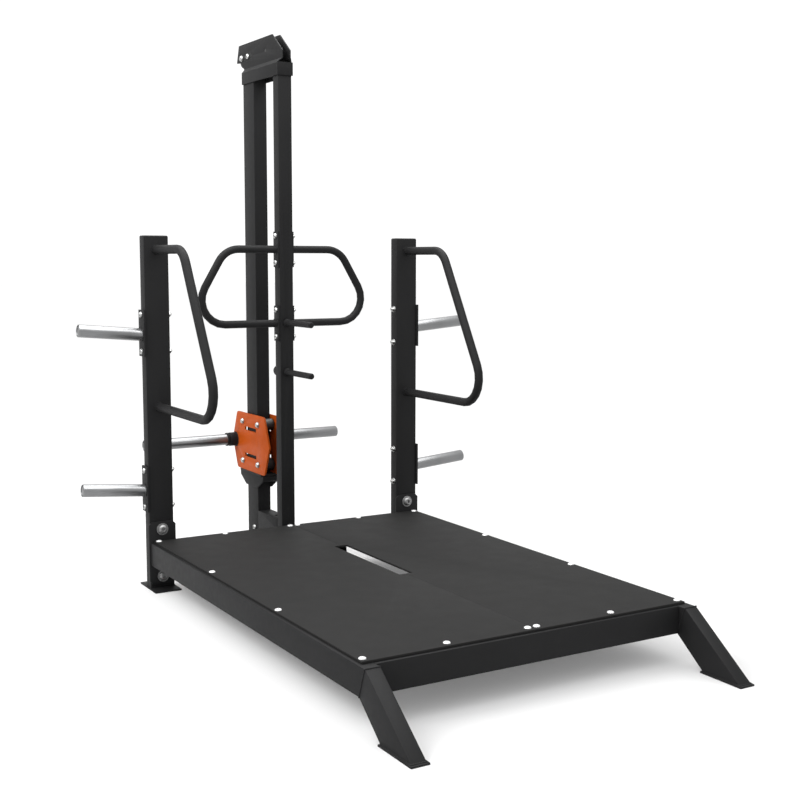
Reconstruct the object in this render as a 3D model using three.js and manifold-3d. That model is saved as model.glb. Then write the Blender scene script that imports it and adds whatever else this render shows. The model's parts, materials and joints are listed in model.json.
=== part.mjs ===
// A plate-loaded belt squat machine: a low platform with a belt slot, two side posts with grab handles and
// plate storage horns, and a twin-post tower whose loaded carriage slides up the rear post.
// Millimetres, +Z up, the user's end of the platform towards -Y.
import * as THREE from "three";
import { mergeVertices } from "three/addons/utils/BufferGeometryUtils.js";
import Module from "manifold-3d";

const wasm = await Module();
wasm.setup();

// ---- driving dimensions ----
const GAP = 0.3; // between pieces that touch
const WALL = 3; // of every box-section tube
const PLATE = 6; // foot plates and bolted flanges

// The platform. Its rear edge is at y = 0 in these values.
const HALF_WIDTH = 625;
const TUBE = 50; // the narrow side of the box sections
const RAIL_BOTTOM = 102;
const RAIL_TOP = 194;
const MITRE_BOTTOM_Y = -1740;
const MITRE_TOP_Y = -1775;
const LEG_REAR_Y = -1861;
const LEG_FRONT_Y = -2024;
const FRONT_RAIL_FACE_Y = -1748;
const BEAM_HEIGHT = 60;
const DECK_BEAM_X = 313;
const DECK_THICK = 8;
const DECK_HALF_WIDTH = 612;
const DECK_FRONT_Y = -1735;
const DECK_REAR_Y = -6;
const SLOT_HALF_WIDTH = 28;
const SLOT_FRONT_Y = -955;
const SLOT_REAR_Y = -450;

// The side posts, their handles and the plate storage horns.
const POST_WIDTH = 100;
const FLANGE_THICK = 8;
const POST_FRONT_Y = FLANGE_THICK + 2 * GAP;
const POST_TOP = 1418;
const POST_X = HALF_WIDTH - POST_WIDTH / 2;
const FLANGE_BOTTOM = 22;
const FLANGE_TOP = 278;
const SIDE_HANDLE_TOP = 1366;
const SIDE_HANDLE_BOTTOM = 742;
const SIDE_HANDLE_TOP_Y = -284; // its corners before they are rounded
const SIDE_HANDLE_BOTTOM_Y = -643;
const SIDE_HANDLE_BENDS = [100, 106]; // upper and lower
const SIDE_HANDLE_RADIUS = 17.5;
const STORAGE_HEIGHTS = { upper: 1037, lower: 411 };
const SLEEVE_RADIUS = 25;
const STORAGE_LENGTH = 255;
const STORAGE_TILT = THREE.MathUtils.degToRad(5);

// The tower.
const FRONT_POST_Y = [30, 80];
const REAR_POST_Y = [278, 388];
const TOWER_WIDTH = 60;
const TOWER_TOP = 2128;
const FRONT_POST_BOTTOM = 165;
const BASE_TOP = 216;
const PEG_HEIGHTS = { upper: 1063, lower: 854 };
const FRONT_HANDLE_TOP = 1370;
const FRONT_HANDLE_BOTTOM = 1060;
const FRONT_HANDLE_TOP_X = 262; // its corners before they are rounded
const FRONT_HANDLE_BOTTOM_X = 445;
const FRONT_HANDLE_BENDS = [100, 101]; // upper and lower
const FRONT_HANDLE_RADIUS = 16;
const BRACKET_THICK = 5;

// The pulleys, which all carry the same lifting line.
const GROOVE_RADIUS = 34;
const RIM_RADIUS = 40;
const LINE_LOW = 75; // height of the line below the deck
const LINE_DOWN_Y = 142; // where the line comes down between the posts, behind the ends of the pegs
const TOP_PULLEY_Z = 2200;
const REAR_TOP_PULLEY_Y = 422;
const SLOT_PULLEY_Y = -482;

// The carriage, at the bottom of its travel.
const CARRIAGE_Y = (REAR_POST_Y[0] + REAR_POST_Y[1]) / 2;
const CARRIAGE_Z = 515;
const CARRIAGE_INNER_X = TOWER_WIDTH / 2 + 2;
const CARRIAGE_THICK = 8;
const CARRIAGE_HALF_HEIGHT = 129;
const CARRIAGE_HALF_LENGTH = 198; // at the middle, where the hexagon is longest
const CARRIAGE_HALF_EDGE = 146; // along its top and bottom edges
const ROLLER_RADIUS = 26;
const ROLLER_OFFSET_Y = (REAR_POST_Y[1] - REAR_POST_Y[0]) / 2 + ROLLER_RADIUS + GAP;
const ROLLER_OFFSET_Z = 89;
const AXLE_RADIUS = 6;
const HORN_Y = 500;
const HORN_Z = 512;
const HORN_END_X = 475;
const COLLAR_END_X = 87;

// The whole part is centred front to back over its own footprint.
const FOOT_FRONT_Y = -2034;
const CARRIAGE_REAR_Y = CARRIAGE_Y + CARRIAGE_HALF_LENGTH;
const CENTRE_Y = (FOOT_FRONT_Y + CARRIAGE_REAR_Y) / 2;

// ---- materials ----
const painted = (color, roughness = 0.55) =>
  new THREE.MeshStandardMaterial({ color, roughness, metalness: 0.2 });
const blackPaint = () => painted(0x2c2c2e);
const deckPaint = () => painted(0x3c3c3d, 0.9);
const orangePaint = () => painted(0xcb5832, 0.45);
const chrome = () => new THREE.MeshStandardMaterial({ color: 0xdfe1e3, roughness: 0.15, metalness: 1 });
const zinc = () => new THREE.MeshStandardMaterial({ color: 0xb4b6b8, roughness: 0.35, metalness: 0.9 });
const nylon = () => new THREE.MeshStandardMaterial({ color: 0x1b1b1c, roughness: 0.6, metalness: 0 });
const rubber = () => new THREE.MeshStandardMaterial({ color: 0x141414, roughness: 0.85, metalness: 0 });

// ---- solids ----
// The axes that an outline's own x, y and depth take in each of the three planes.
const X = new THREE.Vector3(1, 0, 0);
const Y = new THREE.Vector3(0, 1, 0);
const Z = new THREE.Vector3(0, 0, 1);
const IN_YZ = new THREE.Matrix4().makeBasis(Y, Z, X);
const IN_XZ = new THREE.Matrix4().makeBasis(X, Z, Y.clone().negate());

function solidOf(geometry) {
  const bare = geometry.clone();
  bare.deleteAttribute("normal");
  bare.deleteAttribute("uv");
  const merged = mergeVertices(bare, 1e-3);
  return new wasm.Manifold(
    new wasm.Mesh({
      numProp: 3,
      vertProperties: merged.attributes.position.array,
      triVerts: new Uint32Array(merged.index.array),
    }),
  );
}

function geometryOf(solid) {
  const mesh = solid.getMesh();
  const geometry = new THREE.BufferGeometry();
  geometry.setAttribute("position", new THREE.BufferAttribute(mesh.vertProperties, 3));
  geometry.setIndex(new THREE.BufferAttribute(mesh.triVerts, 1));
  geometry.computeVertexNormals();
  return geometry;
}

const cut = (body, ...tools) =>
  geometryOf(tools.reduce((rest, tool) => rest.subtract(solidOf(tool)), solidOf(body)));
const join = (...bodies) => geometryOf(bodies.map(solidOf).reduce((all, body) => all.add(body)));
const common = (one, other) => geometryOf(solidOf(one).intersect(solidOf(other)));

const outline = (points) => new THREE.Shape(points.map(([u, v]) => new THREE.Vector2(u, v)));

// A box between two opposite corners.
function block([x0, y0, z0], [x1, y1, z1]) {
  const geometry = new THREE.BoxGeometry(x1 - x0, y1 - y0, z1 - z0);
  return geometry.translate((x0 + x1) / 2, (y0 + y1) / 2, (z0 + z1) / 2);
}

// An outline of (y, z) points, given thickness along +X from x0.
function plateYZ(points, x0, thickness) {
  const geometry = new THREE.ExtrudeGeometry(outline(points), { depth: thickness, bevelEnabled: false });
  return geometry.applyMatrix4(IN_YZ).translate(x0, 0, 0);
}

// An outline of (x, z) points, given thickness along -Y from y0.
function plateXZ(points, y0, thickness) {
  const geometry = new THREE.ExtrudeGeometry(outline(points), { depth: thickness, bevelEnabled: false });
  return geometry.applyMatrix4(IN_XZ).translate(0, y0, 0);
}

// The outline with a curve in place of each corner that has a reach: how far it starts from the corner.
function rounded(points) {
  return points.flatMap(([u, v, reach], i) => {
    if (!reach) return [[u, v]];
    const corner = new THREE.Vector2(u, v);
    const towards = ([a, b]) => new THREE.Vector2(a, b).sub(corner).setLength(reach).add(corner);
    const start = towards(points.at(i - 1));
    const end = towards(points[(i + 1) % points.length]);
    return new THREE.QuadraticBezierCurve(start, corner, end).getPoints(4).map(({ x, y }) => [x, y]);
  });
}

// The convex outline with each edge moved inwards by its own distance; edge i runs from point i to the next.
function inset(points, distances) {
  const lines = points.map(([u, v], i) => {
    const [nextU, nextV] = points[(i + 1) % points.length];
    const length = Math.hypot(nextU - u, nextV - v);
    const inwards = [-(nextV - v) / length, (nextU - u) / length];
    return { inwards, offset: inwards[0] * u + inwards[1] * v + distances[i] };
  });
  return lines.map((line, i) => {
    const previous = lines[(i + lines.length - 1) % lines.length];
    const [a, b] = previous.inwards;
    const [c, d] = line.inwards;
    const scale = a * d - b * c;
    const u = (previous.offset * d - line.offset * b) / scale;
    const v = (a * line.offset - c * previous.offset) / scale;
    return [u, v];
  });
}

// A box-section piece whose side outline has four counter-clockwise points; its second and fourth edges
// are the open ends.
function openSection(points, width) {
  const hollow = inset(points, [WALL, -1, WALL, -1]);
  const bore = width - 2 * WALL;
  return cut(plateYZ(points, -width / 2, width), plateYZ(hollow, -bore / 2, bore));
}

// A standing box section, closed at the top and open at the bottom, centred on x = 0.
function standingPost(width, [y0, y1], bottom, top) {
  const hollow = block([WALL - width / 2, y0 + WALL, bottom - 1], [width / 2 - WALL, y1 - WALL, top - WALL]);
  return cut(block([-width / 2, y0, bottom], [width / 2, y1, top]), hollow);
}

// A box section lying along X, open at both ends.
function crossTube(halfLength, [y0, y1], bottom, top) {
  const hollow = block([-halfLength - 1, y0 + WALL, bottom + WALL], [halfLength + 1, y1 - WALL, top - WALL]);
  return cut(block([-halfLength, y0, bottom], [halfLength, y1, top]), hollow);
}

// A turned piece: [radius, distance along the axis] pairs that start and end on the axis.
function turned(profile, sides = 24) {
  const geometry = new THREE.LatheGeometry(profile.map(([r, h]) => new THREE.Vector2(r, h)), sides);
  return geometry.rotateX(Math.PI / 2);
}
const turnedAlongX = (profile, sides) => turned(profile, sides).applyMatrix4(IN_YZ);
const pin = (radius, length, sides = 24) =>
  turned([[0, -length / 2], [radius, -length / 2], [radius, length / 2], [0, length / 2]], sides);
const pinAlongX = (radius, length, sides) => pin(radius, length, sides).applyMatrix4(IN_YZ);
const pinAlongY = (radius, length, sides) => pin(radius, length, sides).applyMatrix4(IN_XZ);

// A tube's centre line: straight runs between corners, with each corner rounded to its own bend radius.
class BentLine extends THREE.Curve {
  constructor(corners, bends, stepsPerBend = 7) {
    super();
    this.points = [corners[0]];
    bends.forEach((radius, i) => {
      const corner = corners[i + 1];
      const back = corners[i].clone().sub(corner).normalize();
      const ahead = corners[i + 2].clone().sub(corner).normalize();
      const half = back.angleTo(ahead) / 2;
      const centre = back.clone().add(ahead).normalize().multiplyScalar(radius / Math.sin(half)).add(corner);
      const start = back.multiplyScalar(radius / Math.tan(half)).add(corner).sub(centre);
      const end = ahead.multiplyScalar(radius / Math.tan(half)).add(corner).sub(centre);
      const axis = start.clone().cross(end).normalize();
      const turn = start.angleTo(end);
      for (let step = 0; step <= stepsPerBend; step++) {
        this.points.push(start.clone().applyAxisAngle(axis, (turn * step) / stepsPerBend).add(centre));
      }
    });
    this.points.push(corners.at(-1));
  }
  get steps() {
    return this.points.length - 1;
  }
  getPoint(t, target = new THREE.Vector3()) {
    const run = Math.min(Math.floor(t * this.steps + 1e-9), this.steps - 1);
    return target.lerpVectors(this.points[run], this.points[run + 1], t * this.steps - run);
  }
  getUtoTmapping(u) {
    return u;
  }
}

// A round tube along a bent line, open at both ends.
function bentTube(line, radius) {
  const ring = (r, sides) =>
    Array.from({ length: sides }, (_, i) => {
      const angle = (2 * Math.PI * i) / sides;
      return new THREE.Vector2(r * Math.cos(angle), r * Math.sin(angle));
    });
  const section = new THREE.Shape(ring(radius, 16));
  section.holes.push(new THREE.Path(ring(radius - WALL, 8).reverse()));
  return new THREE.ExtrudeGeometry(section, { steps: line.steps, extrudePath: line });
}

// ---- assembly ----
const machine = new THREE.Group();
machine.position.set(0, -CENTRE_Y, 0);

function add(name, geometry, material, x = 0, y = 0, z = 0) {
  const mesh = new THREE.Mesh(geometry, material);
  mesh.name = name;
  mesh.position.set(x, y, z);
  machine.add(mesh);
}

const SIDES = { left: -1, right: 1 };

// ---- platform ----
function addSideRail(name, side) {
  const points = [[0, RAIL_TOP], [MITRE_TOP_Y, RAIL_TOP], [MITRE_BOTTOM_Y, RAIL_BOTTOM], [0, RAIL_BOTTOM]];
  add(`side_rail_${name}`, openSection(points, TUBE), blackPaint(), side * (HALF_WIDTH - TUBE / 2));
}

// The leg continues the side rail forwards and down, widening towards the floor.
function addLeg(name, side) {
  const foot = PLATE + GAP;
  const front = [[MITRE_TOP_Y, RAIL_TOP], [LEG_FRONT_Y, foot]];
  const rear = [[LEG_REAR_Y, foot], [MITRE_BOTTOM_Y, RAIL_BOTTOM]];
  const points = [...front, ...rear];
  const x = side * (HALF_WIDTH - TUBE / 2);
  add(`leg_${name}`, openSection(points, TUBE), blackPaint(), x, -GAP * 1.5);
  const overhang = 5;
  const reach = TUBE / 2 + overhang;
  const plate = block([-reach, FOOT_FRONT_Y, 0], [reach, LEG_REAR_Y + overhang, PLATE]);
  add(`leg_foot_${name}`, plate, blackPaint(), x);
}

function addCrossRails() {
  const halfLength = HALF_WIDTH - TUBE - GAP;
  const front = [FRONT_RAIL_FACE_Y, FRONT_RAIL_FACE_Y + TUBE];
  add("front_rail", crossTube(halfLength, front, RAIL_BOTTOM, RAIL_TOP), blackPaint());
  add("rear_rail", crossTube(halfLength, [-TUBE, 0], RAIL_BOTTOM, RAIL_TOP), blackPaint());
}

// A beam under the deck, running front to back between rear and front.
function addBeam(name, x, rear, front) {
  const bottom = RAIL_TOP - BEAM_HEIGHT;
  const points = [[rear, RAIL_TOP], [front, RAIL_TOP], [front, bottom], [rear, bottom]];
  add(name, openSection(points, TUBE), blackPaint(), x);
}

function addDeckBeams() {
  const front = FRONT_RAIL_FACE_Y + TUBE + GAP;
  addBeam("deck_beam_left", -DECK_BEAM_X, -TUBE - GAP, front);
  addBeam("deck_beam_right", DECK_BEAM_X, -TUBE - GAP, front);
  addBeam("centre_beam", 0, SLOT_FRONT_Y - 10, front);
}

// Each deck panel has half of the belt slot cut from its inner edge.
function addDeckPanel(name, side) {
  const bottom = RAIL_TOP + GAP;
  const top = bottom + DECK_THICK;
  const seam = GAP / 2;
  const [left, right] = side < 0 ? [-DECK_HALF_WIDTH, -seam] : [seam, DECK_HALF_WIDTH];
  const panel = block([left, DECK_FRONT_Y, bottom], [right, DECK_REAR_Y, top]);
  const slot = block([-SLOT_HALF_WIDTH, SLOT_FRONT_Y, bottom - 1], [SLOT_HALF_WIDTH, SLOT_REAR_Y, top + 1]);
  add(`deck_panel_${name}`, cut(panel, slot), deckPaint());
}

// ---- side posts ----
function addSidePost(name, side) {
  const x = side * POST_X;
  const depth = [POST_FRONT_Y, POST_FRONT_Y + TUBE];
  add(`side_post_${name}`, standingPost(POST_WIDTH, depth, PLATE + GAP, POST_TOP), blackPaint(), x);
  add(`post_foot_${name}`, block([-55, -60, 0], [55, 124, PLATE]), blackPaint(), x);
  const half = 56;
  const chamfer = 14;
  const flange = [
    [half, FLANGE_BOTTOM + chamfer],
    [half, FLANGE_TOP - chamfer],
    [half - chamfer, FLANGE_TOP],
    [chamfer - half, FLANGE_TOP],
    [-half, FLANGE_TOP - chamfer],
    [-half, FLANGE_BOTTOM + chamfer],
    [chamfer - half, FLANGE_BOTTOM],
    [half - chamfer, FLANGE_BOTTOM],
  ];
  add(`post_flange_${name}`, plateXZ(flange, FLANGE_THICK + GAP, FLANGE_THICK), blackPaint(), x);
}

// A grab handle that bows forwards from the side post.
function addSideHandle(name, side) {
  const end = POST_FRONT_Y - GAP;
  const corners = [
    new THREE.Vector3(0, end, SIDE_HANDLE_TOP),
    new THREE.Vector3(0, SIDE_HANDLE_TOP_Y, SIDE_HANDLE_TOP),
    new THREE.Vector3(0, SIDE_HANDLE_BOTTOM_Y, SIDE_HANDLE_BOTTOM),
    new THREE.Vector3(0, end, SIDE_HANDLE_BOTTOM),
  ];
  const tube = bentTube(new BentLine(corners, SIDE_HANDLE_BENDS), SIDE_HANDLE_RADIUS);
  add(`side_handle_${name}`, tube, blackPaint(), side * POST_X);
}

// A storage horn: a plate bolted to the outside of the post and a sleeve that tilts up and outwards.
function addStorageHorn(level, name, side) {
  const z = STORAGE_HEIGHTS[level];
  const y = POST_FRONT_Y + TUBE / 2;
  const plateThick = 8;
  const face = HALF_WIDTH + GAP + plateThick;
  const inner = side > 0 ? HALF_WIDTH + GAP : -face;
  const plate = block([inner, -32, -92], [inner + plateThick, 32, 92]);
  add(`storage_plate_${level}_${name}`, plate, blackPaint(), 0, y, z);
  const start = -10;
  const sleeve = turned([
    [0, STORAGE_LENGTH - 5],
    [SLEEVE_RADIUS - 4, STORAGE_LENGTH - 5],
    [SLEEVE_RADIUS - 4, start],
    [SLEEVE_RADIUS, start],
    [SLEEVE_RADIUS, STORAGE_LENGTH - 2],
    [SLEEVE_RADIUS - 2, STORAGE_LENGTH],
    [0, STORAGE_LENGTH],
  ]);
  sleeve.rotateY(side * (Math.PI / 2 - STORAGE_TILT)).translate(side * face, 0, -6);
  const wall = block([-60, -60, -60], [60, 60, 60]).translate(side * (face + GAP - 60), 0, 0);
  add(`storage_sleeve_${level}_${name}`, cut(sleeve, wall), chrome(), 0, y, z);
}

// ---- tower ----
function addTowerPosts() {
  const shankHole = 8.5;
  const middle = (FRONT_POST_Y[0] + FRONT_POST_Y[1]) / 2;
  const pegHole = (z) => pinAlongY(shankHole, 2 * TUBE).translate(0, middle, z);
  const pegHoles = Object.values(PEG_HEIGHTS).map(pegHole);
  const front = standingPost(TOWER_WIDTH, FRONT_POST_Y, FRONT_POST_BOTTOM, TOWER_TOP);
  add("tower_post_front", cut(front, ...pegHoles), blackPaint());
  add("tower_post_rear", standingPost(TOWER_WIDTH, REAR_POST_Y, PLATE + GAP, TOWER_TOP), blackPaint());
}

// A foot plate, a bridge between the posts, and two low cheeks that carry the base pulley and hold the
// front post's foot.
function addTowerBase() {
  const inner = TOWER_WIDTH / 2 + GAP;
  const rear = REAR_POST_Y[1] + 4;
  const foot = block([-75, GAP, 0], [75, 440, PLATE]);
  const low = 76;
  const atPost = FRONT_POST_BOTTOM + 7;
  const floor = PLATE - 1;
  const cheekOutline = [
    [GAP, floor],
    [rear, floor],
    [rear, low],
    [160, low],
    [FRONT_POST_Y[1] + 10, atPost],
    [GAP, atPost],
  ];
  const cheeks = [inner, -inner - PLATE].map((x) => plateYZ(cheekOutline, x, PLATE));
  const axleHole = pinAlongX(8.5, 200).translate(0, LINE_DOWN_Y - GROOVE_RADIUS, LINE_LOW + GROOVE_RADIUS);
  add("tower_base", cut(join(foot, ...cheeks, bridge(inner + 0.5, low - 16)), axleHole), blackPaint());
}

// An open channel between the two posts, flush with their sides, with a slot in its roof for the line.
function bridge(half, bottom) {
  const ends = [FRONT_POST_Y[1] + GAP, REAR_POST_Y[0] - GAP];
  const solid = block([-half, ends[0], bottom], [half, ends[1], BASE_TOP]);
  const clear = half - PLATE;
  const hollow = block([-clear, ends[0] - 1, bottom - 1], [clear, ends[1] + 1, BASE_TOP - PLATE]);
  const lineHalf = 10;
  const lineSlot = block(
    [-lineHalf, LINE_DOWN_Y - lineHalf, BASE_TOP - 2 * PLATE],
    [lineHalf, LINE_DOWN_Y + lineHalf, BASE_TOP + 1],
  );
  return cut(solid, hollow, lineSlot);
}

// The top bracket's side outline as (y, z) points; the rear end overhangs to carry a pulley.
function topBracketOutline(frontY) {
  return [
    [frontY, 2083],
    [REAR_POST_Y[1] + 3, 2083],
    [REAR_POST_Y[1] + 3, 2145],
    [438, 2182],
    [477, 2186],
    [454, 2258],
    [107, 2258],
    [11, 2182],
    [11, 2150],
    [frontY, 2136],
  ];
}

// A plate bent like a Z: its foot hugs the posts and its upper part stands nearer the middle.
function topBracket(frontY) {
  const outer = TOWER_WIDTH / 2 + GAP + BRACKET_THICK;
  const upper = 20;
  const bend = [
    [outer, 2080],
    [outer, 2133],
    [upper, 2151],
    [upper, 2260],
    [upper - BRACKET_THICK, 2260],
    [upper - BRACKET_THICK, 2149],
    [outer - BRACKET_THICK, 2131],
    [outer - BRACKET_THICK, 2080],
  ];
  return common(plateXZ(bend, 500, 500), plateYZ(topBracketOutline(frontY), 0, 60));
}

function addTopBrackets() {
  const outer = TOWER_WIDTH / 2 + GAP + BRACKET_THICK;
  const frontY = FRONT_POST_Y[0];
  const strip = block([-outer, frontY - GAP - BRACKET_THICK, 2083], [outer, frontY - GAP, 2136]);
  const link = block([outer - BRACKET_THICK, frontY - GAP - BRACKET_THICK, 2083], [outer, frontY + 1, 2131]);
  const hole = (y) => pinAlongX(AXLE_RADIUS + 0.5, 200).translate(0, y, TOP_PULLEY_Z);
  const holes = [LINE_DOWN_Y + GROOVE_RADIUS, REAR_TOP_PULLEY_Y].map(hole);
  add("top_bracket_right", cut(join(topBracket(frontY), strip, link), ...holes), blackPaint());
  const left = cut(topBracket(frontY + GAP), ...holes);
  left.scale(-1, 1, 1);
  left.index.array.reverse();
  add("top_bracket_left", left, blackPaint());
}

// Half of the front handle: a bent tube welded to two plates that bolt to the side of the front post.
function addFrontHandle(name, side) {
  const y = (FRONT_POST_Y[0] + FRONT_POST_Y[1]) / 2;
  const inner = TOWER_WIDTH / 2 + GAP;
  const at = (x, z) => new THREE.Vector3(side * x, 0, z);
  const corners = [
    at(inner + 1, FRONT_HANDLE_TOP),
    at(FRONT_HANDLE_TOP_X, FRONT_HANDLE_TOP),
    at(FRONT_HANDLE_BOTTOM_X, FRONT_HANDLE_BOTTOM),
    at(inner + 1, FRONT_HANDLE_BOTTOM),
  ];
  const line = new BentLine(corners, FRONT_HANDLE_BENDS);
  const plates = [FRONT_HANDLE_TOP, FRONT_HANDLE_BOTTOM].map((z) => {
    const x = side > 0 ? inner : -inner - PLATE;
    return block([x, -23, z - 74], [x + PLATE, 23, z + 74]);
  });
  // Each plate is drilled through where the tube ends, so that the tube drains.
  const drains = [FRONT_HANDLE_TOP, FRONT_HANDLE_BOTTOM].map((z) =>
    pinAlongX(8, 4 * PLATE).translate(side * inner, 0, z),
  );
  const welded = join(bentTube(line, FRONT_HANDLE_RADIUS), ...plates);
  add(`front_handle_${name}`, cut(welded, ...drains), blackPaint(), 0, y);
}

// A belt peg: a rod ahead of the front post, on a shank that passes through it to a knob at the back.
function addBeltPeg(level) {
  const front = FRONT_POST_Y[0] - GAP;
  const rear = FRONT_POST_Y[1] + GAP;
  const tip = -204;
  const knobLength = 50;
  const end = -rear - knobLength;
  const peg = turned([
    [0, end],
    [13, end],
    [20, end + 4],
    [23, end + 11],
    [23, -rear],
    [8, -rear],
    [8, -front],
    [17, -front],
    [17, 9 - front],
    [12.5, 11 - front],
    [12.5, -tip - 4],
    [9, -tip],
    [0, -tip],
  ], 24);
  add(`belt_peg_${level}`, peg.rotateX(Math.PI / 2), blackPaint(), 0, 0, PEG_HEIGHTS[level]);
}

// ---- pulleys ----
const WHEEL_HALF = 11;
const HUB_HALF = 13;
const LOW_AXLE_RADIUS = 8;
const TOP_GRIP_HALF = 20; // from the middle plane to the outside of each top bracket

// A grooved wheel's section from one hub face to the other, as [radius, distance along the axis] pairs.
function wheelSection() {
  const half = [
    [RIM_RADIUS, WHEEL_HALF - 3],
    [RIM_RADIUS, WHEEL_HALF],
    [GROOVE_RADIUS - 6, WHEEL_HALF],
    [GROOVE_RADIUS - 8, WHEEL_HALF - 3],
    [16, WHEEL_HALF - 3],
    [13, HUB_HALF],
  ];
  const mirrored = half.map(([r, h]) => [r, -h]).reverse();
  return [...mirrored, [GROOVE_RADIUS, 0], ...half];
}

function boredPulley(bore) {
  const start = [bore, -HUB_HALF];
  return turnedAlongX([start, ...wheelSection(), [bore, HUB_HALF], start]);
}

function pulleyOnAxle(radius, halfLength) {
  const near = [[0, -halfLength], [radius, -halfLength], [radius, -HUB_HALF]];
  const far = [[radius, HUB_HALF], [radius, halfLength], [0, halfLength]];
  return turnedAlongX([...near, ...wheelSection(), ...far]);
}

function addPulleys() {
  const low = LINE_LOW + GROOVE_RADIUS;
  const cheek = TOWER_WIDTH / 2 + GAP + PLATE;
  const place = (name, geometry, y, z) => add(name, geometry, nylon(), 0, y, z);
  const frontTop = pulleyOnAxle(AXLE_RADIUS, TOP_GRIP_HALF);
  place("top_pulley_front", frontTop, LINE_DOWN_Y + GROOVE_RADIUS, TOP_PULLEY_Z);
  place("top_pulley_rear", boredPulley(AXLE_RADIUS + GAP), REAR_TOP_PULLEY_Y, TOP_PULLEY_Z);
  place("base_pulley", pulleyOnAxle(LOW_AXLE_RADIUS, cheek + 4), LINE_DOWN_Y - GROOVE_RADIUS, low);
  place("slot_pulley", pulleyOnAxle(LOW_AXLE_RADIUS, 34), SLOT_PULLEY_Y, low);
  add("top_axle_rear", axleBolt(TOP_GRIP_HALF), zinc(), 0, REAR_TOP_PULLEY_Y, TOP_PULLEY_Z);
}

// An inverted channel from the rear rail to the slot, whose two ears hold the slot pulley.
function addSlotPulleyBracket() {
  const half = 30;
  const wall = 4;
  const low = LINE_LOW + GROOVE_RADIUS;
  const rear = -TUBE - GAP;
  const roofFront = SLOT_REAR_Y + 10;
  const side = [
    [rear, RAIL_TOP],
    [roofFront, RAIL_TOP],
    [roofFront - 12, low + 36],
    [SLOT_PULLEY_Y - 18, low + 36],
    [SLOT_PULLEY_Y - 34, low + 18],
    [SLOT_PULLEY_Y - 34, low - 14],
    [SLOT_PULLEY_Y - 20, low - 28],
    [roofFront - 20, low - 28],
    [roofFront, RAIL_BOTTOM],
    [rear, RAIL_BOTTOM],
  ];
  const channel = plateYZ(side, -half, 2 * half);
  const hollow = block([wall - half, SLOT_PULLEY_Y - 60, 0], [half - wall, rear + 1, RAIL_TOP - wall]);
  const hole = pinAlongX(8.5, 100).translate(0, SLOT_PULLEY_Y, low);
  add("slot_pulley_bracket", cut(channel, hollow, hole), blackPaint());
}

// ---- carriage ----
// A bolt across the middle plane, its head outside the left plate and its nut outside the right one.
function axleBolt(halfGrip) {
  const grip = halfGrip + GAP;
  const r = AXLE_RADIUS;
  return turnedAlongX([
    [0, -grip - 9],
    [8, -grip - 9],
    [13, -grip - 3],
    [13, -grip],
    [r, -grip],
    [r, grip],
    [13, grip],
    [11, grip + 12],
    [0, grip + 12],
  ], 16);
}

// A hexagonal side plate, widest at the middle, with an adjusting slot above and below.
function addCarriagePlate(name, side) {
  const h = CARRIAGE_HALF_HEIGHT;
  const edge = CARRIAGE_HALF_EDGE;
  const tip = CARRIAGE_HALF_LENGTH;
  const soft = 14;
  const low = [[-edge, -h, soft], [edge, -h, soft], [tip, 0]];
  const points = rounded([...low, [edge, h, soft], [-edge, h, soft], [-tip, 0]]);
  const x0 = side > 0 ? CARRIAGE_INNER_X : -CARRIAGE_INNER_X - CARRIAGE_THICK;
  const through = (geometry, y, z) => geometry.translate(0, y, z);
  const slotReach = 60; // to each slot's middle, and to each of its ends
  const slotHalf = 8;
  const slot = (z) => block([-slotReach, -slotReach, z - slotHalf], [slotReach, slotReach, z + slotHalf]);
  const slots = [-slotReach, slotReach].map(slot);
  const axleHoles = rollerPlaces().map(({ y, z }) => through(pinAlongX(AXLE_RADIUS + GAP, 120), y, z));
  const hornHole = through(pinAlongX(20 + GAP, 120, 32), HORN_Y - CARRIAGE_Y, HORN_Z - CARRIAGE_Z);
  const plate = cut(plateYZ(points, x0, CARRIAGE_THICK), ...slots, ...axleHoles, hornHole);
  add(`carriage_plate_${name}`, plate, orangePaint(), 0, CARRIAGE_Y, CARRIAGE_Z);
}

// The four rollers, as offsets from the middle of the carriage.
function rollerPlaces() {
  const rows = { upper: ROLLER_OFFSET_Z, lower: -ROLLER_OFFSET_Z };
  const columns = { front: -ROLLER_OFFSET_Y, rear: ROLLER_OFFSET_Y };
  return Object.entries(rows).flatMap(([row, z]) =>
    Object.entries(columns).map(([column, y]) => ({ name: `${column}_${row}`, y, z })),
  );
}

function addRollers() {
  const half = CARRIAGE_INNER_X - GAP;
  const bore = AXLE_RADIUS + GAP;
  const profile = [
    [bore, -half],
    [13, -half],
    [14, 2 - half],
    [ROLLER_RADIUS - 3, 2 - half],
    [ROLLER_RADIUS, 5 - half],
    [ROLLER_RADIUS, half - 5],
    [ROLLER_RADIUS - 3, half - 2],
    [14, half - 2],
    [13, half],
    [bore, half],
    [bore, -half],
  ];
  rollerPlaces().forEach(({ name, y, z }) => {
    add(`roller_${name}`, turnedAlongX(profile), nylon(), 0, CARRIAGE_Y + y, CARRIAGE_Z + z);
    const bolt = axleBolt(CARRIAGE_INNER_X + CARRIAGE_THICK);
    add(`roller_axle_${name}`, bolt, zinc(), 0, CARRIAGE_Y + y, CARRIAGE_Z + z);
  });
}

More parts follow.
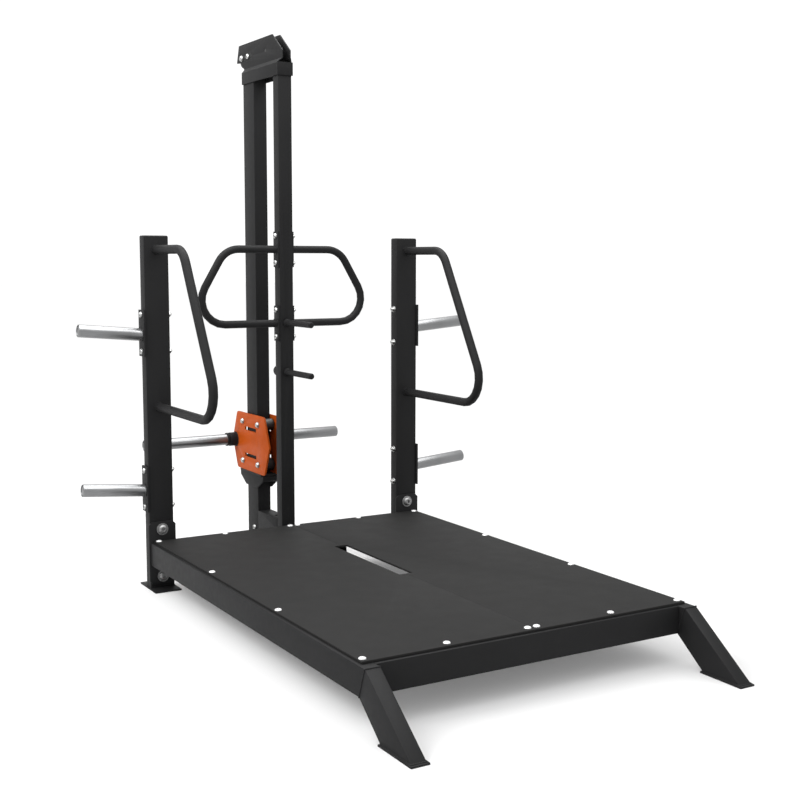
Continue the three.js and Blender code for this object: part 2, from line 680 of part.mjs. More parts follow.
// A loading horn: a flanged stub through the side plate, and the plate sleeve outside it.
function addHorn(name, side) {
  const face = CARRIAGE_INNER_X + CARRIAGE_THICK + GAP;
  const along = (profile) => {
    const geometry = turned(profile);
    return geometry.rotateY((side * Math.PI) / 2);
  };
  const stub = along([
    [0, GAP],
    [20, GAP],
    [20, face],
    [31, face],
    [31, COLLAR_END_X - 15],
    [26, COLLAR_END_X - 13],
    [26, COLLAR_END_X - 8],
    [30, COLLAR_END_X - 7],
    [30, COLLAR_END_X],
    [0, COLLAR_END_X],
  ]);
  add(`horn_stub_${name}`, stub, blackPaint(), 0, HORN_Y, HORN_Z);
  const base = COLLAR_END_X + GAP;
  const sleeve = along([
    [0, HORN_END_X - 5],
    [SLEEVE_RADIUS - 4, HORN_END_X - 5],
    [SLEEVE_RADIUS - 4, base],
    [SLEEVE_RADIUS, base],
    [SLEEVE_RADIUS, HORN_END_X - 2],
    [SLEEVE_RADIUS - 2, HORN_END_X],
    [0, HORN_END_X],
  ]);
  add(`carriage_sleeve_${name}`, sleeve, chrome(), 0, HORN_Y, HORN_Z);
}

// The rest that the carriage lands on: a collar round the rear post that widens towards its top.
function addStop() {
  const wall = 6;
  const bumperSpace = 8;
  const reach = 122; // to each end of the wide top, from the middle of the post
  const top = CARRIAGE_Z - CARRIAGE_HALF_HEIGHT - bumperSpace;
  const bottom = 320;
  const lip = top - 20;
  const inner = TOWER_WIDTH / 2 + GAP;
  const [front, rear] = REAR_POST_Y;
  const points = [
    [front - wall, bottom],
    [rear + wall, bottom],
    [CARRIAGE_Y + reach, lip],
    [CARRIAGE_Y + reach, top],
    [CARRIAGE_Y - reach, top],
    [CARRIAGE_Y - reach, lip],
  ];
  const postHole = block([-inner, front - GAP, 0], [inner, rear + GAP, 1000]);
  const pockets = [
    block([-inner, rear + wall, bottom - wall], [inner, CARRIAGE_Y + reach - wall, top - wall]),
    block([-inner, CARRIAGE_Y - reach + wall, bottom - wall], [inner, front - wall, top - wall]),
  ];
  const collar = plateYZ(points, -inner - wall, 2 * (inner + wall));
  add("stop_bracket", cut(collar, postHole, ...pockets), blackPaint());
  const padReach = 112;
  const padLow = [-42, CARRIAGE_Y - padReach, top + GAP];
  const padHigh = [42, CARRIAGE_Y + padReach, top + bumperSpace - GAP];
  add("stop_bumper", cut(block(padLow, padHigh), postHole), rubber());
}

Object.entries(SIDES).forEach(([name, side]) => {
  addSideRail(name, side);
  addLeg(name, side);
  addDeckPanel(name, side);
  addSidePost(name, side);
  addSideHandle(name, side);
  addStorageHorn("upper", name, side);
  addStorageHorn("lower", name, side);
  addFrontHandle(name, side);
  addCarriagePlate(name, side);
  addHorn(name, side);
});
addCrossRails();
addDeckBeams();
addTowerPosts();
addTowerBase();
addTopBrackets();
addBeltPeg("upper");
addBeltPeg("lower");
addPulleys();
addSlotPulleyBracket();
addRollers();
addStop();

export default machine;
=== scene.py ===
import json
import math

import bpy
from mathutils import Matrix, Vector


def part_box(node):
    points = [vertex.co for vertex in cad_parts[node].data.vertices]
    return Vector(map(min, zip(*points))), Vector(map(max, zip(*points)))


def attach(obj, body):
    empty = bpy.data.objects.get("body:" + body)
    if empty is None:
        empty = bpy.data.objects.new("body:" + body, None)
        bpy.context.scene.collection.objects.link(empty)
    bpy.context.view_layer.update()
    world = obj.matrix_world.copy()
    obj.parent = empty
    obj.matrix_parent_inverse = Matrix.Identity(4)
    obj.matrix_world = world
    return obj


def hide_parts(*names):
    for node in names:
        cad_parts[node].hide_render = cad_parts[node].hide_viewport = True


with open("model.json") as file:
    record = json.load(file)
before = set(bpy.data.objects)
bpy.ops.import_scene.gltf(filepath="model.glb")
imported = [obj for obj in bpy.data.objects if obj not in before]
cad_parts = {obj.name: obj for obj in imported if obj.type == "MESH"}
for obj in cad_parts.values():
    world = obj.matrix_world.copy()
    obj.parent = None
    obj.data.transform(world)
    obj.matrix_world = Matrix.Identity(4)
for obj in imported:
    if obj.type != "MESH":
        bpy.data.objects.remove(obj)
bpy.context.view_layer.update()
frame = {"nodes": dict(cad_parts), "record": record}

# A plate-loaded belt squat machine on a pale studio floor. Metres, +Z up, the user's end towards -Y.
SIDES = {"left": -1, "right": 1}
LEFT = Vector((-1, 0, 0))
RIGHT = Vector((1, 0, 0))
FRONT = Vector((0, -1, 0))
BACK = Vector((0, 1, 0))
UP = Vector((0, 0, 1))


def middle(node):
    low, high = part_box(node)
    return (low + high) / 2


# ---- materials ----
class Look:
    """A Principled material whose colour, roughness and relief vary over the surface with noise."""

    def __init__(self, name, metallic=0.0, specular=0.5):
        self.made = bpy.data.materials.new(name)
        self.made.use_nodes = True
        self.nodes = self.made.node_tree.nodes
        self.links = self.made.node_tree.links
        self.shader = self.nodes["Principled BSDF"]
        self.shader.inputs["Metallic"].default_value = metallic
        self.shader.inputs["Specular IOR Level"].default_value = specular
        self.place = self.nodes.new("ShaderNodeTexCoord").outputs["Object"]

    def noise(self, scale, detail, stretch=(1, 1, 1)):
        mapping = self.nodes.new("ShaderNodeMapping")
        mapping.inputs["Scale"].default_value = stretch
        self.links.new(self.place, mapping.inputs["Vector"])
        noise = self.nodes.new("ShaderNodeTexNoise")
        noise.inputs["Scale"].default_value = scale
        noise.inputs["Detail"].default_value = detail
        self.links.new(mapping.outputs["Vector"], noise.inputs["Vector"])
        return noise.outputs["Fac"]

    def spread(self, value, low, high):
        """The value's middle range, from start to end, stretched to run from low to high."""
        start = 0.3
        end = 0.7
        node = self.nodes.new("ShaderNodeMapRange")
        settings = {"From Min": start, "From Max": end, "To Min": low, "To Max": high}
        for socket, number in settings.items():
            node.inputs[socket].default_value = number
        self.links.new(value, node.inputs["Value"])
        return node.outputs["Result"]

    def colour(self, value, dark, light):
        node = self.nodes.new("ShaderNodeMix")
        node.data_type = "RGBA"
        node.inputs["A"].default_value = (*dark, 1)
        node.inputs["B"].default_value = (*light, 1)
        self.links.new(value, node.inputs["Factor"])
        self.links.new(node.outputs["Result"], self.shader.inputs["Base Color"])

    def roughness(self, value, low, high):
        self.links.new(self.spread(value, low, high), self.shader.inputs["Roughness"])

    def relief(self, *layers):
        """Each layer is a height and how deep it is in metres; the first lies under the rest."""
        below = None
        for value, depth in layers:
            bump = self.nodes.new("ShaderNodeBump")
            bump.inputs["Strength"].default_value = 1.0
            bump.inputs["Distance"].default_value = depth
            self.links.new(value, bump.inputs["Height"])
            if below is not None:
                self.links.new(below, bump.inputs["Normal"])
            below = bump.outputs["Normal"]
        self.links.new(below, self.shader.inputs["Normal"])


def black_paint():
    look = Look("satin_black_powder_coat", specular=0.07)
    patches = look.noise(5, 5)
    look.colour(look.spread(patches, 0, 1), (0.0138, 0.0138, 0.0142), (0.0158, 0.0158, 0.0163))
    look.roughness(look.noise(45, 6), 0.5, 0.56)
    look.relief((look.noise(420, 2), 0.00002), (look.noise(1500, 3), 0.00002))
    return look.made


def deck_paint():
    look = Look("textured_deck_coat", specular=0.07)
    grit = look.noise(1100, 6)
    wear = look.noise(2.2, 8)
    look.colour(look.spread(wear, 0, 1), (0.0188, 0.0186, 0.0184), (0.0198, 0.0196, 0.0193))
    look.roughness(look.noise(14, 8), 0.7, 0.75)
    look.relief((grit, 0.0001))
    return look.made


def orange_paint():
    look = Look("orange_powder_coat", specular=0.06)
    look.colour(look.spread(look.noise(9, 6), 0, 1), (0.345, 0.056, 0.004), (0.395, 0.066, 0.007))
    look.roughness(look.noise(60, 4), 0.34, 0.46)
    look.relief((look.noise(320, 2), 0.00005), (look.noise(1400, 3), 0.00002))
    return look.made


def chrome():
    look = Look("chromed_sleeve", metallic=1.0)
    look.colour(look.spread(look.noise(12, 5), 0, 1), (0.19, 0.192, 0.195), (0.22, 0.223, 0.226))
    scuffs = look.noise(30, 10, (1, 9, 9))
    look.roughness(scuffs, 0.3, 0.38)
    look.relief((look.noise(140, 6, (0.3, 4, 4)), 0.000012))
    return look.made


def zinc():
    look = Look("zinc_plated_steel", metallic=1.0)
    look.colour(look.spread(look.noise(130, 5), 0, 1), (0.32, 0.32, 0.31), (0.47, 0.475, 0.475))
    look.roughness(look.noise(400, 5), 0.28, 0.42)
    look.relief((look.noise(1700, 3), 0.00002))
    return look.made


def dull_zinc():
    look = Look("dull_zinc_bolt", metallic=0.85)
    look.colour(look.spread(look.noise(90, 6), 0, 1), (0.17, 0.17, 0.17), (0.29, 0.29, 0.29))
    look.roughness(look.noise(300, 5), 0.4, 0.58)
    look.relief((look.noise(900, 4), 0.00004))
    return look.made


def bright_screw():
    look = Look("bright_deck_screw", metallic=0.35, specular=0.6)
    look.colour(look.spread(look.noise(200, 4), 0, 1), (0.78, 0.78, 0.78), (0.92, 0.92, 0.92))
    look.roughness(look.noise(600, 4), 0.22, 0.34)
    look.relief((look.noise(1500, 3), 0.00001))
    return look.made


def nylon():
    look = Look("moulded_nylon", specular=0.4)
    look.colour(look.spread(look.noise(24, 5), 0, 1), (0.012, 0.012, 0.012), (0.022, 0.022, 0.022))
    look.roughness(look.noise(150, 5), 0.42, 0.58)
    look.relief((look.noise(800, 4), 0.00003))
    return look.made


def rubber():
    look = Look("matt_rubber", specular=0.25)
    look.colour(look.spread(look.noise(35, 6), 0, 1), (0.01, 0.01, 0.01), (0.02, 0.02, 0.02))
    look.roughness(look.noise(90, 6), 0.72, 0.9)
    look.relief((look.noise(500, 5), 0.00008))
    return look.made


LOOKS = {
    "black_paint": black_paint(),
    "deck_paint": deck_paint(),
    "orange_paint": orange_paint(),
    "chrome": chrome(),
    "zinc": zinc(),
    "nylon": nylon(),
    "rubber": rubber(),
}
DULL_ZINC = dull_zinc()
BRIGHT_SCREW = bright_screw()


# ---- soft edges ----
def smooth_group():
    """A modifier group that shades smooth across every edge flatter than the sharpest angle."""
    sharpest = math.radians(36)
    tree = bpy.data.node_groups.new("smooth_by_angle", "GeometryNodeTree")
    for way in ("INPUT", "OUTPUT"):
        tree.interface.new_socket("Geometry", in_out=way, socket_type="NodeSocketGeometry")
    start = tree.nodes.new("NodeGroupInput")
    end = tree.nodes.new("NodeGroupOutput")
    faces = tree.nodes.new("GeometryNodeSetShadeSmooth")
    faces.domain = "FACE"
    faces.inputs["Shade Smooth"].default_value = True
    edges = tree.nodes.new("GeometryNodeSetShadeSmooth")
    edges.domain = "EDGE"
    edges.inputs["Shade Smooth"].default_value = False
    angle = tree.nodes.new("GeometryNodeInputMeshEdgeAngle")
    sharp = tree.nodes.new("ShaderNodeMath")
    sharp.operation = "GREATER_THAN"
    sharp.inputs[1].default_value = sharpest
    tree.links.new(start.outputs[0], faces.inputs["Geometry"])
    tree.links.new(faces.outputs[0], edges.inputs["Geometry"])
    tree.links.new(angle.outputs["Unsigned Angle"], sharp.inputs[0])
    tree.links.new(sharp.outputs[0], edges.inputs["Selection"])
    tree.links.new(edges.outputs[0], end.inputs[0])
    return tree


SMOOTH = smooth_group()
TUBE_EDGE = 0.0014
PLATE_EDGE = 0.0007
TUBES = ("side_rail", "leg_left", "leg_right", "front_rail", "rear_rail", "side_post", "tower_post")


def soften(piece, edge_width):
    if edge_width:
        bevel = piece.modifiers.new("edges", "BEVEL")
        bevel.limit_method = "ANGLE"
        bevel.angle_limit = math.radians(42)
        bevel.width = edge_width
        bevel.segments = 3
    piece.modifiers.new("smooth", "NODES").node_group = SMOOTH


def finish_cad_nodes():
    slots = {part["node"]: part["material_slot"] for part in frame["record"]["subparts"]}
    for name, node in frame["nodes"].items():
        for slot in node.material_slots:
            slot.material = LOOKS[slots[name]]
        weld = node.modifiers.new("weld", "WELD")
        weld.merge_threshold = 0.00001
        flat = node.modifiers.new("flat", "DECIMATE")
        flat.decimate_type = "DISSOLVE"
        flat.angle_limit = math.radians(0.5)
        soften(node, TUBE_EDGE if name.startswith(TUBES) else PLATE_EDGE)


# ---- pieces ----
def mesh_of(name, vertices, faces, look):
    mesh = bpy.data.meshes.new(name)
    mesh.from_pydata(vertices, [], faces)
    mesh.validate()
    mesh.materials.append(look)
    return mesh


def put(name, mesh, body="frame", at=Vector(), towards=UP, edge_width=0.0):
    """A piece whose mesh's +Z points towards the given direction, riding on the body."""
    piece = bpy.data.objects.new(name, mesh)
    bpy.context.scene.collection.objects.link(piece)
    turn = UP.rotation_difference(towards).to_matrix().to_4x4()
    piece.matrix_world = Matrix.Translation(at) @ turn
    soften(piece, edge_width)
    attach(piece, body)
    return piece


HEX = True


def ring(radius, height, is_hex, count):
    """Points round +Z; a hexagonal ring's radius is to the middle of its flats."""
    points = []
    for i in range(count):
        angle = 2 * math.pi * i / count
        from_flat = (angle + math.pi / 6) % (math.pi / 3) - math.pi / 6
        reach = radius / math.cos(from_flat) if is_hex else radius
        points.append((reach * math.cos(angle), reach * math.sin(angle), height))
    return points


def turned(name, profile, look, count=36):
    """Rings of (radius, height) or (radius, height, HEX), joined in order and closed at both ends."""
    vertices = []
    for entry in profile:
        vertices += ring(entry[0], entry[1], len(entry) > 2, count)
    faces = [tuple(reversed(range(count)))]
    for row in range(len(profile) - 1):
        for i in range(count):
            a = row * count + i
            b = row * count + (i + 1) % count
            faces.append((a, b, b + count, a + count))
    last = (len(profile) - 1) * count
    faces.append(tuple(range(last, last + count)))
    return mesh_of(name, vertices, faces, look)


def socket_profile(radius, height, key, depth):
    """A domed head with a hexagonal socket."""
    skirt = 0.25
    return [
        (radius, 0),
        (radius, skirt * height),
        (0.93 * radius, 0.6 * height),
        (0.76 * radius, 0.88 * height),
        (0.55 * radius, height),
        (key * 1.08, height, HEX),
        (key, 0.97 * height, HEX),
        (key, height - depth, HEX),
    ]


def washered(profile, washer, thickness):
    """The profile, standing on a washer."""
    raised = [(row[0], row[1] + thickness, *row[2:]) for row in profile]
    return [(washer * 0.96, 0), (washer, 0.3 * thickness), (washer * 0.97, thickness)] + raised


def nut_profile(flat, height, washer, washer_height, thread, end):
    """A nut on a washer, with the bolt's threaded end standing out of it."""
    top = washer_height + height
    rows = [
        (washer * 0.96, 0),
        (washer, 0.3 * washer_height),
        (washer * 0.97, washer_height),
        (flat, washer_height, HEX),
        (flat, top - 0.12 * height, HEX),
        (0.94 * flat, top),
        (thread * 1.12, top),
        (thread * 1.02, top - 0.08 * height),
    ]
    turns = 4
    for i in range(turns):
        low = top + end * i / turns
        rows.append((thread * 0.9, low))
        rows.append((thread, low + end / turns / 2))
    rows.append((thread * 0.78, top + end))
    return rows


DECK_SCREW = turned("deck_screw_shape", socket_profile(0.0115, 0.005, 0.0035, 0.003), BRIGHT_SCREW)
DOME_BOLT = turned("dome_bolt_shape", socket_profile(0.0115, 0.0085, 0.0045, 0.005), LOOKS["zinc"])
SMALL_NUT_PROFILE = nut_profile(0.0105, 0.009, 0.0135, 0.0018, 0.006, 0.005)
SMALL_NUT = turned("small_nut_shape", SMALL_NUT_PROFILE, LOOKS["zinc"])
BIG_HEAD = washered(socket_profile(0.0185, 0.011, 0.006, 0.006), 0.0245, 0.003)
BIG_BOLT = turned("big_bolt_shape", BIG_HEAD, DULL_ZINC)
BIG_NUT = turned("big_nut_shape", nut_profile(0.015, 0.013, 0.021, 0.003, 0.01, 0.008), DULL_ZINC)
SET_SCREW = turned("set_screw_shape", socket_profile(0.005, 0.003, 0.002, 0.002), LOOKS["zinc"])


def add_deck_screws():
    """Six screws along the front edge, six along the rear edge, and two more along each side."""
    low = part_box("deck_panel_left")[0]
    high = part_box("deck_panel_right")[1]
    side_inset = 0.014
    rear_inset = 0.016
    front_inset = 0.023
    beside_seam = 0.017
    rows = 4
    rear = high.y - rear_inset
    front = low.y + front_inset
    beam = middle("deck_beam_right").x
    across = [high.x - side_inset, beam, beside_seam]
    places = [(side * x, y) for y in (front, rear) for x in across for side in (-1, 1)]
    for row in range(1, rows - 1):
        y = front + (rear - front) * row / (rows - 1)
        places += [(side * across[0], y) for side in (-1, 1)]
    for i, (x, y) in enumerate(places):
        put(f"deck_screw_{i + 1}", DECK_SCREW, at=Vector((x, y, high.z)))


def add_flange_bolts(name):
    """The two large bolts that hold the platform to the side post."""
    low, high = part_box(f"post_flange_{name}")
    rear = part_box(f"side_post_{name}")[1].y
    x = (low.x + high.x) / 2
    inset = 0.032
    for level, z in (("upper", high.z - inset), ("lower", low.z + inset)):
        put(f"flange_bolt_{level}_{name}", BIG_BOLT, at=Vector((x, low.y, z)), towards=FRONT)
        put(f"flange_nut_{level}_{name}", BIG_NUT, at=Vector((x, rear, z)), towards=BACK)


def add_storage_bolts(level, name, side):
    plate_low, plate_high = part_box(f"storage_plate_{level}_{name}")
    post_low, post_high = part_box(f"side_post_{name}")
    outer = plate_high.x if side > 0 else plate_low.x
    inner = post_low.x if side > 0 else post_high.x
    outwards = RIGHT * side
    centre = (plate_low + plate_high) / 2
    reach = 0.073
    for end, z in (("top", centre.z + reach), ("bottom", centre.z - reach)):
        label = f"{level}_{end}_{name}"
        head = Vector((outer, centre.y, z))
        nut = Vector((inner, centre.y, z))
        put(f"storage_bolt_{label}", DOME_BOLT, at=head, towards=outwards)
        put(f"storage_nut_{label}", SMALL_NUT, at=nut, towards=-outwards)


HANDLE_PLATE_FACE = 0.0363
HANDLE_PLATE_HALF = 0.074


def add_cross_bolt(label, y, z, half_grip):
    """A bolt through the tower along X, its head on the left."""
    put(f"{label}_bolt", DOME_BOLT, at=Vector((-half_grip, y, z)), towards=LEFT)
    put(f"{label}_nut", SMALL_NUT, at=Vector((half_grip, y, z)), towards=RIGHT)


def add_tower_bolts():
    low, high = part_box("front_handle_left")
    bolt_reach = 0.056
    y = middle("tower_post_front").y
    for level, z in (("upper", high.z - HANDLE_PLATE_HALF), ("lower", low.z + HANDLE_PLATE_HALF)):
        add_cross_bolt(f"front_handle_{level}_top", y, z + bolt_reach, HANDLE_PLATE_FACE)
        add_cross_bolt(f"front_handle_{level}_bottom", y, z - bolt_reach, HANDLE_PLATE_FACE)
    post_low, post_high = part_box("tower_post_rear")
    base_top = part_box("tower_base")[1].z
    behind_front = 0.039
    below_top = 0.081
    add_cross_bolt("tower_base", post_low.y + behind_front, base_top - below_top, post_high.x)
    axle = middle("top_pulley_rear")
    ahead_of_axle = 0.066
    bracket_face = 0.02
    add_cross_bolt("top_bracket", axle.y - ahead_of_axle, axle.z, bracket_face)


def add_axle(node, body):
    """The detailed bolt that carries a roller or pulley, in place of the plain one."""
    low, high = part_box(node)
    centre = (low + high) / 2
    head = 0.009
    nut = 0.012
    shank = 0.006
    thread = 0.0058
    washer = 0.013
    flat = 0.0095
    tip = low.x - centre.x
    start = low.x + head - centre.x
    end = high.x - nut - centre.x
    last = high.x - centre.x
    rows = [
        (0.002, tip),
        (0.0045, tip + 0.0002, HEX),
        (0.0095, tip + 0.0003),
        (0.0118, tip + 0.004),
        (0.0122, start - 0.0018),
        (washer, start - 0.0017),
        (washer, start),
        (shank, start),
        (shank, end),
        (washer, end),
        (washer, end + 0.0016),
        (flat, end + 0.0016, HEX),
        (flat, end + 0.0085, HEX),
        (0.0086, end + 0.0092),
        (thread, end + 0.0092),
        (thread, last - 0.0006),
        (0.005, last),
    ]
    shape = turned(f"{node}_shape", rows, LOOKS["zinc"])
    piece = put(f"{node}_detail", shape, body, centre, RIGHT)
    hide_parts(node)


def sleeve_shape(name, start, end):
    """A chromed tube with a rounded rim and a domed plug set into its end."""
    radius = 0.025
    rim = 0.0035
    rows = [
        (radius, start),
        (radius, end - 0.0025),
        (radius - 0.0008, end - 0.0008),
        (radius - 0.0022, end),
        (radius - rim, end - 0.0006),
        (radius - rim - 0.0006, end - 0.004),
        (radius - rim - 0.0012, end - 0.0042),
        (0.016, end - 0.0026),
        (0.009, end - 0.0018),
        (0.002, end - 0.0016),
    ]
    return turned(name, rows, LOOKS["chrome"], count=64)


def add_storage_sleeve(level, name, side):
    node = f"storage_sleeve_{level}_{name}"
    low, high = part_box(f"storage_plate_{level}_{name}")
    face = high.x if side > 0 else low.x
    tilt = math.radians(5)
    drop = 0.006
    length = 0.2548
    inside_plate = 0.003
    centre = (low + high) / 2
    base = Vector((face, centre.y, centre.z - drop))
    along = Vector((side * math.cos(tilt), 0, math.sin(tilt)))
    shape = sleeve_shape(f"{node}_shape", -inside_plate, length)
    piece = put(f"{node}_detail", shape, "frame", base, along)
    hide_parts(node)
    weld_radius = 0.0255
    add_weld_ring(f"storage_weld_{level}_{name}", base, RIGHT * side, weld_radius)


def add_carriage_sleeve(name, side):
    node = f"carriage_sleeve_{name}"
    low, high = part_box(node)
    start, end = sorted((abs(low.x), abs(high.x)))
    centre = middle(node)
    base = Vector((side * start, centre.y, centre.z))
    shape = sleeve_shape(f"{node}_shape", 0, end - start)
    piece = put(f"{node}_detail", shape, "carriage", base, RIGHT * side)
    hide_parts(node)
    screw_inset = 0.0035
    collar_radius = 0.03
    top = Vector((side * (start - screw_inset), centre.y, centre.z + collar_radius))
    put(f"collar_screw_{name}", SET_SCREW, "carriage", top, UP)
    plate_low, plate_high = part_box(f"carriage_plate_{name}")
    face = plate_high.x if side > 0 else plate_low.x
    add_horn_weld(name, Vector((face, centre.y, centre.z)))


# ---- welds ----
def bead(name, points, closed, body="frame", size=0.0035):
    """A rippled weld bead along a line of points."""
    step = 0.003
    path = []
    pairs = list(zip(points, points[1:] + points[:1]))
    if not closed:
        pairs = pairs[:-1]
    for a, b in pairs:
        count = max(1, round((b - a).length / step))
        path += [a.lerp(b, i / count) for i in range(count)]
    if not closed:
        path.append(points[-1])
    sides = 8
    vertices = []
    for i, point in enumerate(path):
        before = path[i - 1] if closed or i else path[i]
        after = path[(i + 1) % len(path)] if closed or i + 1 < len(path) else path[i]
        along = (after - before).normalized()
        across = along.cross(UP)
        if across.length < 0.1:
            across = along.cross(RIGHT)
        across.normalize()
        normal = across.cross(along)
        ripple = 0.1 * math.sin(2.1 * i)
        drift = 0.05 * math.sin(0.37 * i + 1)
        swell = size * (0.86 + ripple + drift)
        for k in range(sides):
            angle = 2 * math.pi * k / sides
            vertices.append(point + swell * (math.cos(angle) * across + math.sin(angle) * normal))
    rows = len(path)
    faces = []
    for i in range(rows if closed else rows - 1):
        following = (i + 1) % rows
        for k in range(sides):
            side = (k + 1) % sides
            corners = (i * sides + k, i * sides + side, following * sides + side, following * sides + k)
            faces.append(corners)
    if not closed:
        faces.append(tuple(range(sides)))
        faces.append(tuple(range((rows - 1) * sides, rows * sides))[::-1])
    shape = mesh_of(f"{name}_shape", vertices, faces, LOOKS["black_paint"])
    return put(name, shape, body)


def add_horn_weld(name, centre):
    """An arc on the carriage plate round the horn, open at the back, where the plate narrows to its tip."""
    radius = 0.0315
    opening = math.radians(54)
    count = 30
    points = []
    for i in range(count + 1):
        angle = opening + 2 * (math.pi - opening) * i / count
        points.append(centre + radius * Vector((0, math.cos(angle), math.sin(angle))))
    bead(f"horn_weld_{name}", points, False, "carriage", size=0.003)


def add_weld_ring(name, centre, axis, radius):
    turn = axis.to_track_quat("Z", "Y")
    count = 36
    points = []
    for i in range(count):
        angle = 2 * math.pi * i / count
        offset = Vector((radius * math.cos(angle), radius * math.sin(angle), 0))
        points.append(centre + turn @ offset)
    bead(name, points, True, size=0.003)


def add_weld_frame(name, low, high, z):
    """A bead round a rectangle that lies level."""
    corners = [(low.x, low.y), (high.x, low.y), (high.x, high.y), (low.x, high.y)]
    bead(name, [Vector((x, y, z)) for x, y in corners], True)


def add_platform_welds(name):
    rail_low, rail_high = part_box(f"side_rail_{name}")
    leg_low, leg_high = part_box(f"leg_{name}")
    top = (rail_low.y, rail_high.z)
    bottom = (leg_high.y, rail_low.z)
    inner, outer = sorted((rail_low.x, rail_high.x), key=abs)
    round_mitre = ((outer, bottom), (outer, top), (inner, top), (inner, bottom))
    mitre = [Vector((x, *corner)) for x, corner in round_mitre]
    bead(f"mitre_weld_{name}", mitre, True, size=0.0028)
    overhang = 0.005
    foot_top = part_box(f"leg_foot_{name}")[1].z
    leg_foot_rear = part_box(f"leg_foot_{name}")[1].y - overhang
    leg_base_high = Vector((leg_high.x, leg_foot_rear, 0))
    add_weld_frame(f"leg_foot_weld_{name}", leg_low, leg_base_high, foot_top)
    post_low, post_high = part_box(f"side_post_{name}")
    post_foot_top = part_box(f"post_foot_{name}")[1].z
    add_weld_frame(f"post_foot_weld_{name}", post_low, post_high, post_foot_top)


def add_handle_welds(name, side):
    low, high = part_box(f"side_handle_{name}")
    side_radius = 0.0175
    x = (low.x + high.x) / 2
    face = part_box(f"side_post_{name}")[0].y
    for level, z in (("upper", high.z - side_radius), ("lower", low.z + side_radius)):
        add_weld_ring(f"side_handle_weld_{level}_{name}", Vector((x, face, z)), FRONT, side_radius)
    front_low, front_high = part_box(f"front_handle_{name}")
    front_radius = 0.016
    plate_face = side * HANDLE_PLATE_FACE
    y = (front_low.y + front_high.y) / 2
    upper = front_high.z - HANDLE_PLATE_HALF
    lower = front_low.z + HANDLE_PLATE_HALF
    for level, z in (("upper", upper), ("lower", lower)):
        place = Vector((plate_face, y, z))
        add_weld_ring(f"front_handle_weld_{level}_{name}", place, LEFT, front_radius)


# ---- caps ----
def add_post_cap(name):
    """A moulded plug in the top of the side post."""
    low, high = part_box(f"side_post_{name}")
    inset = 0.0015
    half_x = (high.x - low.x) / 2 - inset
    half_y = (high.y - low.y) / 2 - inset
    rows = [(1.0, 0), (1.0, 0.0016), (0.96, 0.003), (0.6, 0.0038)]
    vertices = []
    for scale, height in rows:
        shrink = (1 - scale) * half_y
        for sx, sy in ((-1, -1), (1, -1), (1, 1), (-1, 1)):
            vertices.append((sx * (half_x - shrink), sy * (half_y - shrink), height))
    faces = [(3, 2, 1, 0)]
    for row in range(len(rows) - 1):
        for k in range(4):
            a = row * 4 + k
            b = row * 4 + (k + 1) % 4
            faces.append((a, b, b + 4, a + 4))
    top = 4 * (len(rows) - 1)
    faces.append((top, top + 1, top + 2, top + 3))
    shape = mesh_of(f"post_cap_{name}_shape", vertices, faces, LOOKS["nylon"])
    centre = Vector(((low.x + high.x) / 2, (low.y + high.y) / 2, high.z))
    put(f"post_cap_{name}", shape, at=centre, edge_width=0.0008)


# ---- studio ----
def add_floor():
    half = 60.0
    corners = [(-half, -half, 0), (half, -half, 0), (half, half, 0), (-half, half, 0)]
    look = Look("pale_floor", specular=0.05)
    look.colour(look.spread(look.noise(0.6, 3), 0, 1), (0.77, 0.77, 0.77), (0.79, 0.79, 0.79))
    look.shader.inputs["Emission Color"].default_value = (1, 1, 1, 1)
    look.shader.inputs["Emission Strength"].default_value = 0.15
    look.roughness(look.noise(3, 4), 0.8, 0.95)
    floor = bpy.data.objects.new("floor", mesh_of("floor", corners, [(0, 1, 2, 3)], look.made))
    bpy.context.scene.collection.objects.link(floor)


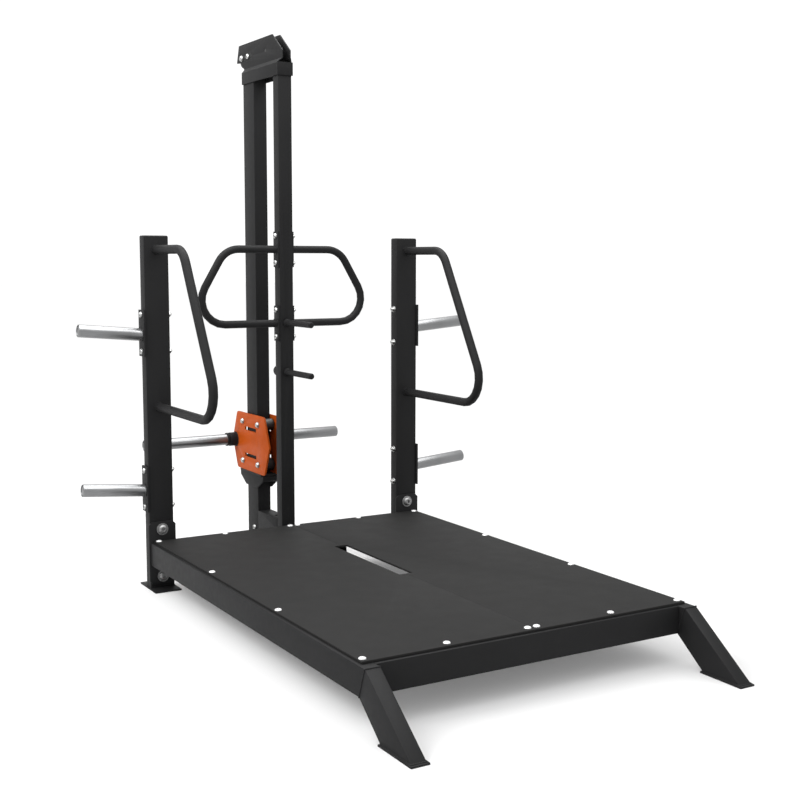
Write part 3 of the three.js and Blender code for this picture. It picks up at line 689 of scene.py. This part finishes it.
def add_lamp(name, place, target, size, watts):
    lamp = bpy.data.lights.new(name, "AREA")
    lamp.size = size
    lamp.energy = watts
    holder = bpy.data.objects.new(name, lamp)
    bpy.context.scene.collection.objects.link(holder)
    aim = (Vector(target) - Vector(place)).to_track_quat("-Z", "Y").to_matrix().to_4x4()
    holder.matrix_world = Matrix.Translation(place) @ aim
    return holder


def add_lights():
    world = bpy.data.worlds.new("studio")
    world.use_nodes = True
    background = world.node_tree.nodes["Background"]
    background.inputs["Color"].default_value = (1, 1, 1, 1)
    background.inputs["Strength"].default_value = 1.1
    bpy.context.scene.world = world
    add_lamp("key", (-3.0, -1.5, 4.5), (0, 0.2, 1.4), size=3.5, watts=40)
    add_lamp("left_wash", (-4.2, 0.9, 4.2), (0, 0.9, 2.3), size=2.5, watts=165)
    # This lamp is seen only in reflections.
    gloss_panel = add_lamp("gloss_panel", (0, 0, 4.5), (0, 0, 0), size=6.0, watts=690)
    gloss_panel.visible_diffuse = False
    bpy.context.scene.view_settings.view_transform = "Standard"


def add_camera():
    """Stands at the user's front left, a little below the tops of the side posts."""
    place = Vector((-2.23374, -3.93370, 1.33067))
    yaw = math.radians(-30.605)
    pitch = math.radians(90 - 6.533)
    roll = math.radians(0.1)
    camera = bpy.data.cameras.new("camera")
    camera.sensor_width = 36.0
    camera.lens = 55.4
    camera.clip_end = 200.0
    holder = bpy.data.objects.new("camera", camera)
    bpy.context.scene.collection.objects.link(holder)
    turn = Matrix.Rotation(yaw, 4, "Z") @ Matrix.Rotation(pitch, 4, "X") @ Matrix.Rotation(roll, 4, "Z")
    holder.matrix_world = Matrix.Translation(place) @ turn
    bpy.context.scene.camera = holder


def add_details():
    add_deck_screws()
    add_tower_bolts()
    for name, side in SIDES.items():
        add_flange_bolts(name)
        add_post_cap(name)
        add_platform_welds(name)
        add_handle_welds(name, side)
        add_carriage_sleeve(name, side)
        for level in ("upper", "lower"):
            add_storage_bolts(level, name, side)
            add_storage_sleeve(level, name, side)
    for column in ("front", "rear"):
        for level in ("upper", "lower"):
            add_axle(f"roller_axle_{column}_{level}", "carriage")
    add_axle("top_axle_rear", "frame")


finish_cad_nodes()
add_details()
add_floor()
add_lights()
add_camera()
